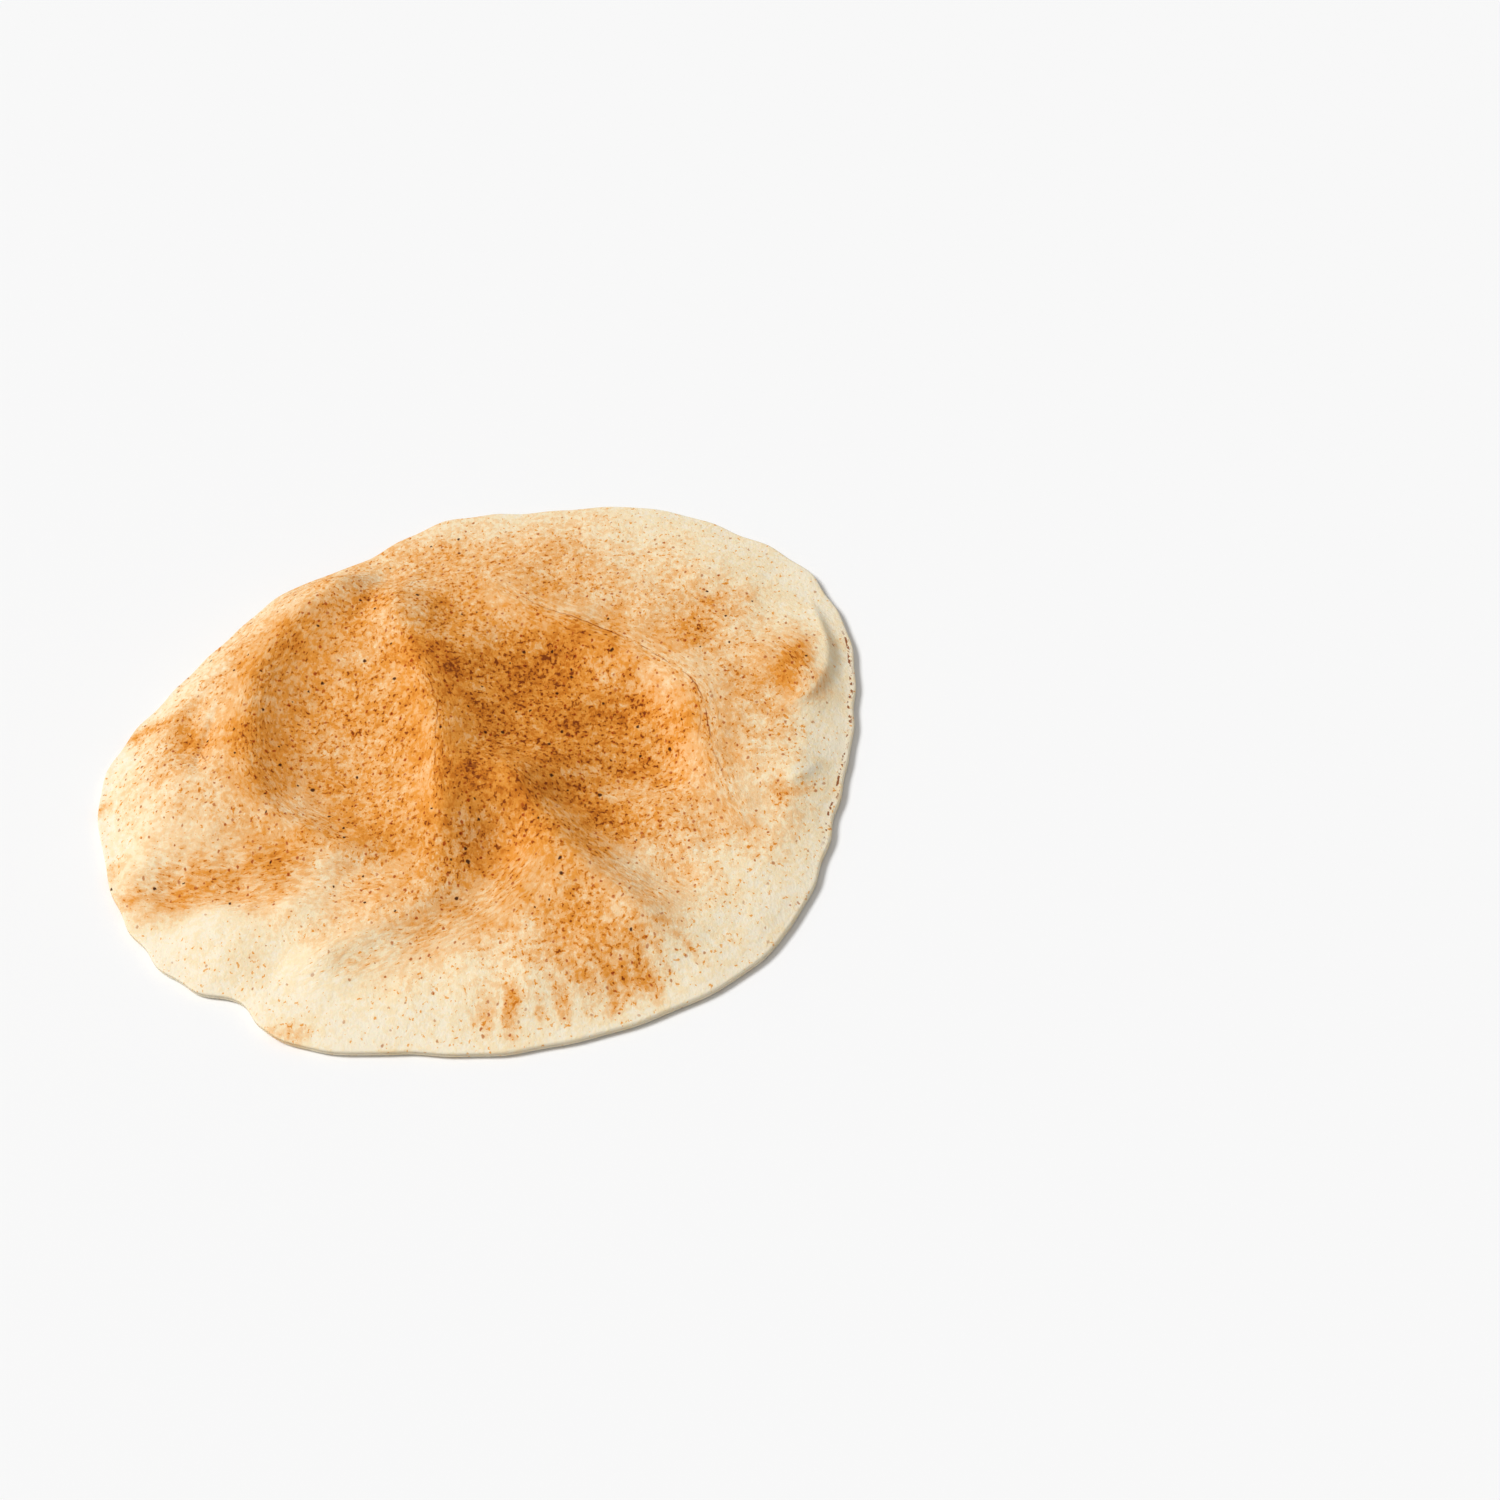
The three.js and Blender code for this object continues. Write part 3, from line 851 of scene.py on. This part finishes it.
def crust_material():
    material = bpy.data.materials.new("pita_crust")
    n = Nodes(material)
    toast, hold = n.number("toast"), n.number("hold")
    skin, flow = n.vector("skin"), n.vector("flow")
    round_grain = n.noise(skin, GRAIN_SCALE, 4, 0.62, 0.25)
    long_grain = n.noise(flow, GRAIN_SCALE, 4, 0.60, 0.3)
    grain = n.blend(hold, round_grain, long_grain)
    push = n.add("ShaderNodeTexNoise", {"Vector": skin, "Scale": WOBBLE_SCALE}).outputs["Color"]
    push = n.add("ShaderNodeVectorMath", {0: push, "Scale": WOBBLE}, operation="SCALE").outputs[0]
    spots = n.add("ShaderNodeVectorMath", {0: skin, 1: push}, operation="ADD").outputs[0]
    wander = n.times(n.math("SUBTRACT", n.noise(skin, WANDER_SCALE, 3, 0.6), 0.5), WANDER)
    base = browning(n, toast, skin, flow, hold, grain)
    base = add_specks(n, base, toast, spots)
    base = add_pinholes(n, base, toast, spots)
    # dark hairlines: crust cracks and painted crease shade
    base = add_cracks_and_crease_shade(n, base, skin, wander)
    base = add_seam(n, base, skin, wander)
    n.surface(n.add("ShaderNodeBsdfPrincipled", {
        "Base Color": base, "Roughness": n.line(grain, 0.25, 0.65),
        "Normal": fine_relief(n, skin, flow, hold, grain),
        "IOR": 1.42, "Specular IOR Level": 0.13,
        "Subsurface Weight": 0.05, "Subsurface Radius": (0.9, 0.45, 0.2), "Subsurface Scale": 0.002,
    }))
    return material


def plain_material(name, colour, roughness):
    material = bpy.data.materials.new(name)
    n = Nodes(material)
    n.surface(n.add("ShaderNodeBsdfPrincipled", {"Base Color": (*colour, 1), "Roughness": roughness}))
    return material


# ---------------------------------------------------------------- the bread
# the marks on the crust are a little longer from front to back than from side to side
SKIN_DEPTH = 0.76
# the base's marks are drawn from elsewhere in the noise than the top's
BASE_SHIFT = (0.41, 0.23, 0.37)


def add_bread():
    verts, faces, toast, side = build_bread()
    on_base = side[:, None] < 0.5
    on_top = (side > 0.99).astype(float)
    skin = verts * [MM, SKIN_DEPTH * MM, MM] + np.where(on_base, [BASE_SHIFT], [[0.0, 0.0, 0.0]])
    flow, hold = grain_fields(verts[:, 0], verts[:, 1])
    # the dark hairlines, crust cracks and painted crease shade, are drawn on the top only
    away, cut = dark_line_fields(verts[:, 0], verts[:, 1])
    cut = cut * on_top[:, None]
    bread = make_object("pita_crust", verts, faces, {
        "toast": toast, "skin": skin, "flow": flow, "hold": hold * on_top,
        "seam": seam_field(verts[:, 0], verts[:, 1]) * on_top[:, None],
        "away_one": away[:, :3], "away_two": away[:, 3:],
        "cut_one": cut[:, :3], "cut_two": cut[:, 3:],
    })
    bread.data.materials.append(crust_material())
    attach(bread, "root")
    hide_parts("pita_bread")


# ---------------------------------------------------------------- floor, light and camera
FLOOR_HALF = 4.0
FLOOR_COLOUR = (0.93, 0.93, 0.93)
FLOOR_ROUGHNESS = 0.9
# the sun's directions and spread are in degrees
SUN_AZIMUTH = 168
SUN_ELEVATION = 52
SUN_SPREAD = 22
SUN_STRENGTH = 2.48
SKY_STRENGTH = 0.39
VIEW_ELEVATION = math.radians(44)
VIEW_ROLL = math.radians(-9)
VIEW_DISTANCE = 1.07
LENS_MM = 95
SENSOR_MM = 36
FRAMING_RIGHT = 0.0726
FRAMING_UP = 0.0043
AIM = Vector((0, 0.0025, 0))


def add_floor():
    mesh = bpy.data.meshes.new("floor")
    corners = [(-FLOOR_HALF, -FLOOR_HALF, 0), (FLOOR_HALF, -FLOOR_HALF, 0),
               (FLOOR_HALF, FLOOR_HALF, 0), (-FLOOR_HALF, FLOOR_HALF, 0)]
    mesh.from_pydata(corners, [], [(0, 1, 2, 3)])
    mesh.materials.append(plain_material("floor_white", FLOOR_COLOUR, FLOOR_ROUGHNESS))
    floor = bpy.data.objects.new("floor", mesh)
    floor.location.z = NODE_LOW.z
    bpy.context.scene.collection.objects.link(floor)


def add_sun():
    azimuth, elevation = math.radians(SUN_AZIMUTH), math.radians(SUN_ELEVATION)
    way = Vector((math.cos(azimuth) * math.cos(elevation), math.sin(azimuth) * math.cos(elevation),
                  math.sin(elevation)))
    data = bpy.data.lights.new("key", "SUN")
    data.energy = SUN_STRENGTH
    data.angle = math.radians(SUN_SPREAD)
    lamp = bpy.data.objects.new("key", data)
    lamp.location = MIDDLE + way
    lamp.rotation_euler = way.to_track_quat("Z", "Y").to_euler()
    bpy.context.scene.collection.objects.link(lamp)


def add_sky():
    world = bpy.data.worlds.new("studio")
    world.use_nodes = True
    backdrop = world.node_tree.nodes["Background"]
    backdrop.inputs["Color"].default_value = (1, 1, 1, 1)
    backdrop.inputs["Strength"].default_value = SKY_STRENGTH
    bpy.context.scene.world = world
    bpy.context.scene.view_settings.view_transform = "Standard"


def add_camera():
    forward = Vector((0, math.cos(VIEW_ELEVATION), -math.sin(VIEW_ELEVATION)))
    level = Vector((1, 0, 0))
    upright = level.cross(forward)
    right = math.cos(VIEW_ROLL) * level + math.sin(VIEW_ROLL) * upright
    up = -math.sin(VIEW_ROLL) * level + math.cos(VIEW_ROLL) * upright
    data = bpy.data.cameras.new("camera")
    data.lens = LENS_MM
    data.sensor_width = SENSOR_MM
    camera = bpy.data.objects.new("camera", data)
    turn = Matrix((right, up, -forward)).transposed().to_4x4()
    place = AIM - forward * VIEW_DISTANCE + right * FRAMING_RIGHT + up * FRAMING_UP
    camera.matrix_world = Matrix.Translation(place) @ turn
    bpy.context.scene.collection.objects.link(camera)
    bpy.context.scene.camera = camera


add_bread()
add_floor()
add_sun()
add_sky()
add_camera()
